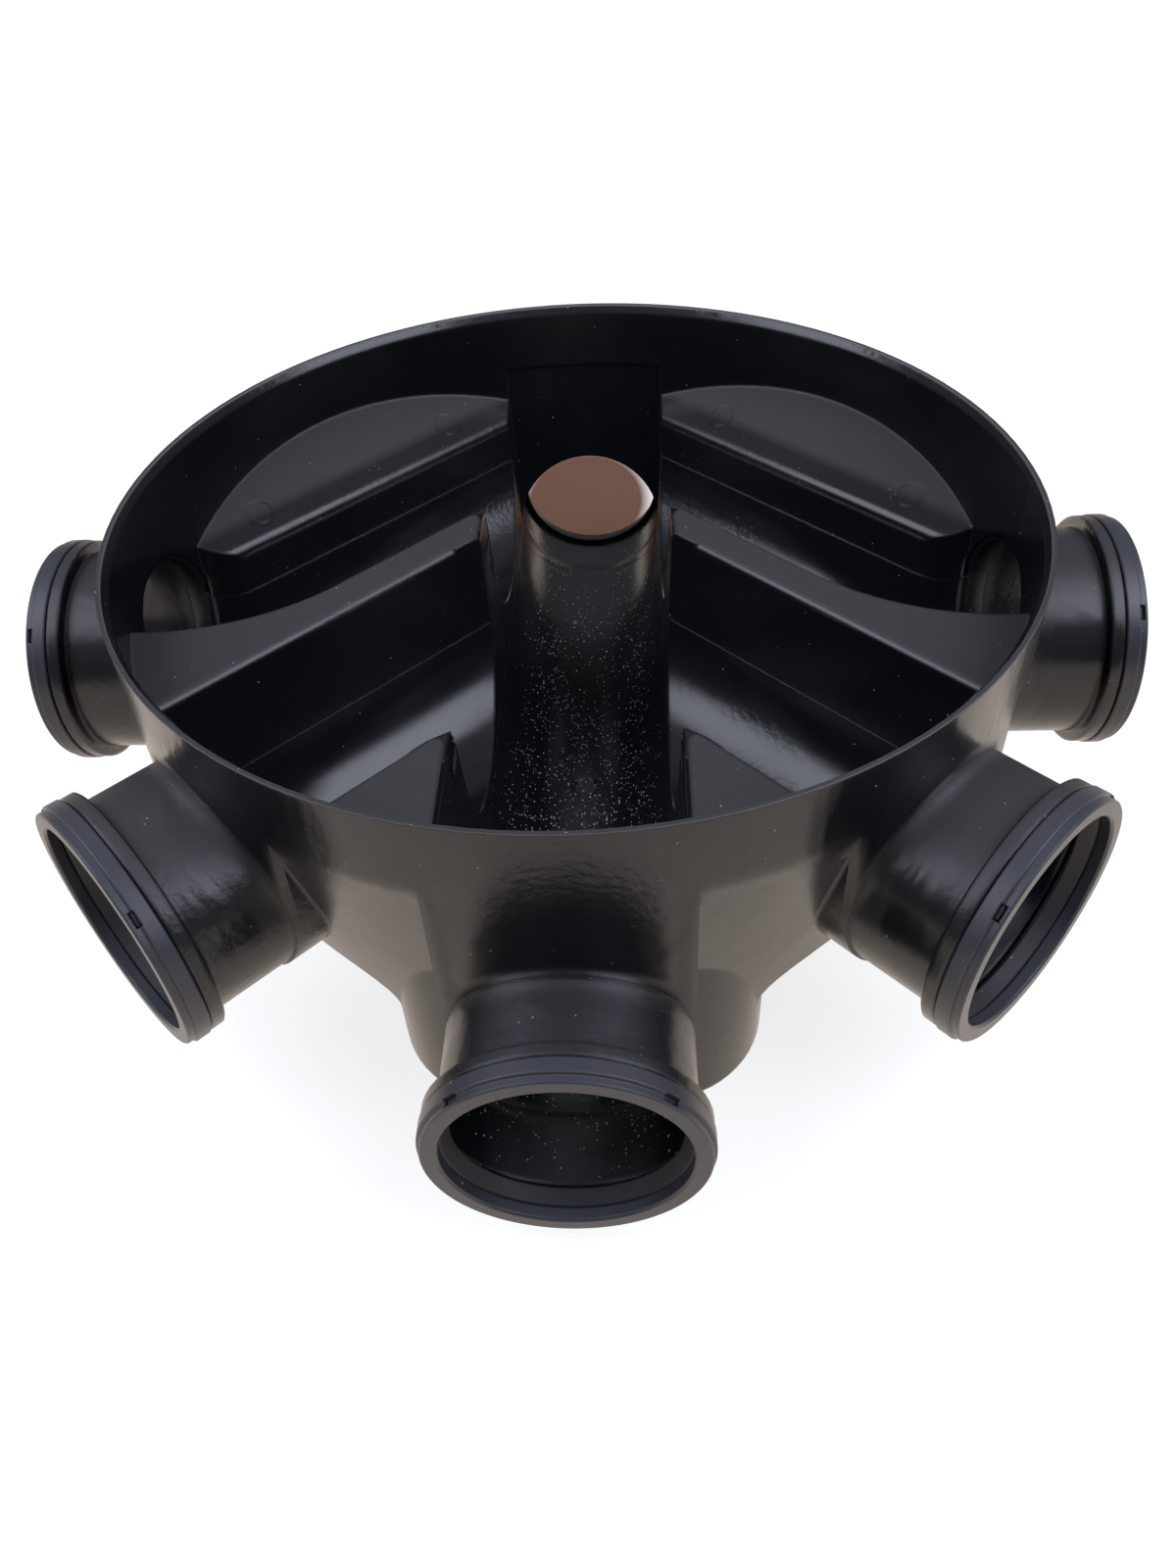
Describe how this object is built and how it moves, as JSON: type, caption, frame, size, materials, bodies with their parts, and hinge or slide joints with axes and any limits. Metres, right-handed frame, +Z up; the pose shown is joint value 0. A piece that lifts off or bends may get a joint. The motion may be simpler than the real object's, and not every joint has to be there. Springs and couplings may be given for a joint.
{
  "type": "drain inspection chamber",
  "caption": "Round base of an underground drain inspection chamber: a falling main channel, angled side branches, benching and push-fit pipe sockets with ring seals and retaining caps.",
  "frame": {"origin": "centre of the standing foot on the ground, on the chamber's vertical axis", "axes": "+Z up along the chamber axis, +Y along the flow towards the outlet, +X to the right seen from the front inlet"},
  "size_m": [0.606, 0.606, 0.235],
  "materials": {
    "polypropylene": "satin",
    "cap_polypropylene": "satin",
    "seal_rubber": "matte"
  },
  "bodies": {
    "root": {"chamber_base": "polypropylene", "cap_front": "cap_polypropylene", "cap_front_left": "cap_polypropylene", "cap_front_right": "cap_polypropylene", "cap_left": "cap_polypropylene", "cap_right": "cap_polypropylene", "cap_back": "cap_polypropylene", "seal_front": "seal_rubber", "seal_front_left": "seal_rubber", "seal_front_right": "seal_rubber", "seal_left": "seal_rubber", "seal_right": "seal_rubber", "seal_back": "seal_rubber"}
  },
  "joints": []
}
